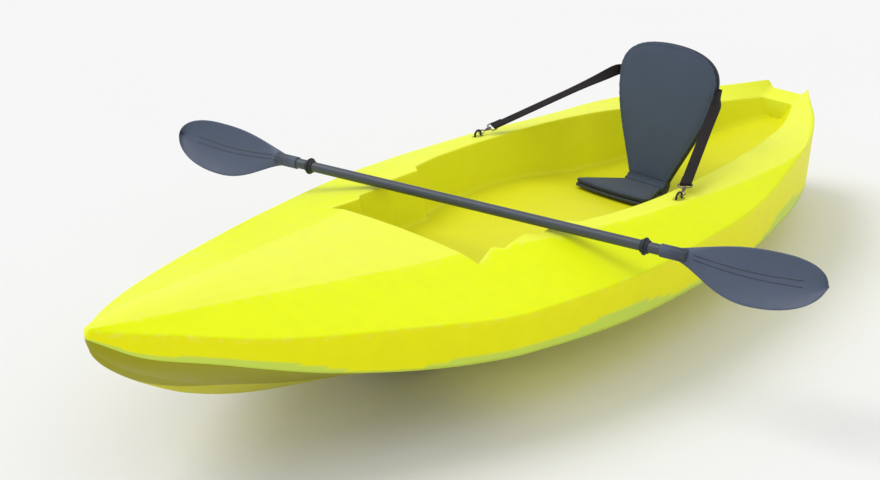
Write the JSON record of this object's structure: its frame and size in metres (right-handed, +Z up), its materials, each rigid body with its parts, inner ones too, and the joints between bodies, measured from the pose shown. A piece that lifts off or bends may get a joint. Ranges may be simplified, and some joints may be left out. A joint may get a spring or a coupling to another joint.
{
  "type": "sit-on-top kayak",
  "caption": "Compact sit-on-top kayak with a stepped cockpit well, a folding seat held by clip-on straps, and a double-bladed paddle across the deck.",
  "frame": {"origin": "on the ground under the middle of the hull's length, on its centreline, at the flat of the bottom", "axes": "+X to the bow, +Y to port, +Z up"},
  "size_m": [2.206, 1.5391, 0.4923],
  "materials": {
    "hull_plastic": "moulded polyethylene, satin",
    "buoyancy_foam": "closed-cell foam",
    "black_plastic": "moulded nylon",
    "gasket_rubber": "matte",
    "seat_fabric": "coated polyester over foam",
    "seat_board": "moulded, fine grain",
    "steel": "satin stainless steel",
    "coated_wire": "black coated wire",
    "webbing": "woven polyester webbing",
    "shaft": "matt composite tube",
    "blade": "glass-filled nylon, fine grain"
  },
  "bodies": {
    "hull": {"deck_shell": "hull_plastic", "hull_shell": "hull_plastic", "bow_foam": "buoyancy_foam", "stern_foam": "buoyancy_foam", "seat_foam": "buoyancy_foam", "drain_socket": "black_plastic", "seat_pad": "seat_fabric", "seat_base": "seat_board", "seat_hinge_pin": "steel", "deck_eye_port": "coated_wire", "eye_plate_port": "steel", "eye_nut_port_fore": "steel", "eye_nut_port_aft": "steel", "snap_hook_port": "steel", "strap_port": "webbing", "deck_eye_starboard": "coated_wire", "eye_plate_starboard": "steel", "eye_nut_starboard_fore": "steel", "eye_nut_starboard_aft": "steel", "snap_hook_starboard": "steel", "strap_starboard": "webbing"},
    "backrest": {"backrest_board": "seat_board", "backrest_pad": "seat_fabric", "strap_keeper_port": "seat_board", "strap_keeper_starboard": "seat_board", "keeper_screw_port_upper": "steel", "keeper_screw_port_lower": "steel", "keeper_screw_starboard_upper": "steel", "keeper_screw_starboard_lower": "steel"},
    "gate_port": {"snap_gate_port": "steel"},
    "gate_starboard": {"snap_gate_starboard": "steel"},
    "swivel_port": {"snap_swivel_port": "steel"},
    "swivel_starboard": {"snap_swivel_starboard": "steel"},
    "paddle": {"paddle_shaft": "shaft", "blade_port": "blade", "blade_starboard": "blade"},
    "ring_port": {"drip_ring_port": "gasket_rubber"},
    "ring_starboard": {"drip_ring_starboard": "gasket_rubber"},
    "gasket": {"drain_gasket": "gasket_rubber"},
    "plug": {"drain_plug": "black_plastic"}
  },
  "joints": [
    {"name": "backrest_fold", "type": "hinge", "parent": "hull", "child": "backrest", "pos_m": [-0.495, 0, 0.17068], "axis": [0, 1, 0], "range_deg": [0, 80], "deforming": ["strap_port", "strap_starboard"]},
    {"name": "paddle_lift", "type": "slide", "parent": "hull", "child": "paddle", "axis": [0, 0, 1], "range_m": [0, 0.25]},
    {"name": "ring_slide_port", "type": "slide", "parent": "paddle", "child": "ring_port", "axis": [-0.1805, 0.9836, 0], "range_m": [-0.06, 0.02]},
    {"name": "ring_slide_starboard", "type": "slide", "parent": "paddle", "child": "ring_starboard", "axis": [0.1805, -0.9836, 0], "range_m": [-0.06, 0.02]},
    {"name": "snap_gate_port_open", "type": "hinge", "parent": "hull", "child": "gate_port", "pos_m": [-0.2393, 0.28865, 0.29439], "axis": [-0.3136, 0, -0.9496], "range_deg": [0, 18], "stiffness_Nm_per_rad": 0.004, "springref_deg": -22.92},
    {"name": "snap_swivel_port_turn", "type": "hinge", "parent": "hull", "child": "swivel_port", "pos_m": [-0.23267, 0.28806, 0.2922], "axis": [-0.8794, -0.3773, 0.2904], "range_deg": [-20, 20]},
    {"name": "snap_gate_starboard_open", "type": "hinge", "parent": "hull", "child": "gate_starboard", "pos_m": [-0.23702, -0.28276, 0.29364], "axis": [-0.3136, 0, -0.9496], "range_deg": [0, 18], "stiffness_Nm_per_rad": 0.004, "springref_deg": -22.92},
    {"name": "snap_swivel_starboard_turn", "type": "hinge", "parent": "hull", "child": "swivel_starboard", "pos_m": [-0.23267, -0.28806, 0.2922], "axis": [-0.8794, 0.3773, 0.2904], "range_deg": [-20, 20]},
    {"name": "drain_plug_travel", "type": "slide", "parent": "hull", "child": "gasket", "axis": [-1, 0, 0], "range_m": [0, 0.02]},
    {"name": "drain_plug_turn", "type": "hinge", "parent": "gasket", "child": "plug", "pos_m": [-1.093, 0, 0.15], "axis": [-1, 0, 0], "range_deg": [0, 900]}
  ],
  "couplings": [
    {"joint": "drain_plug_turn", "follows": "drain_plug_travel", "rad_per_m": 785.4}
  ]
}
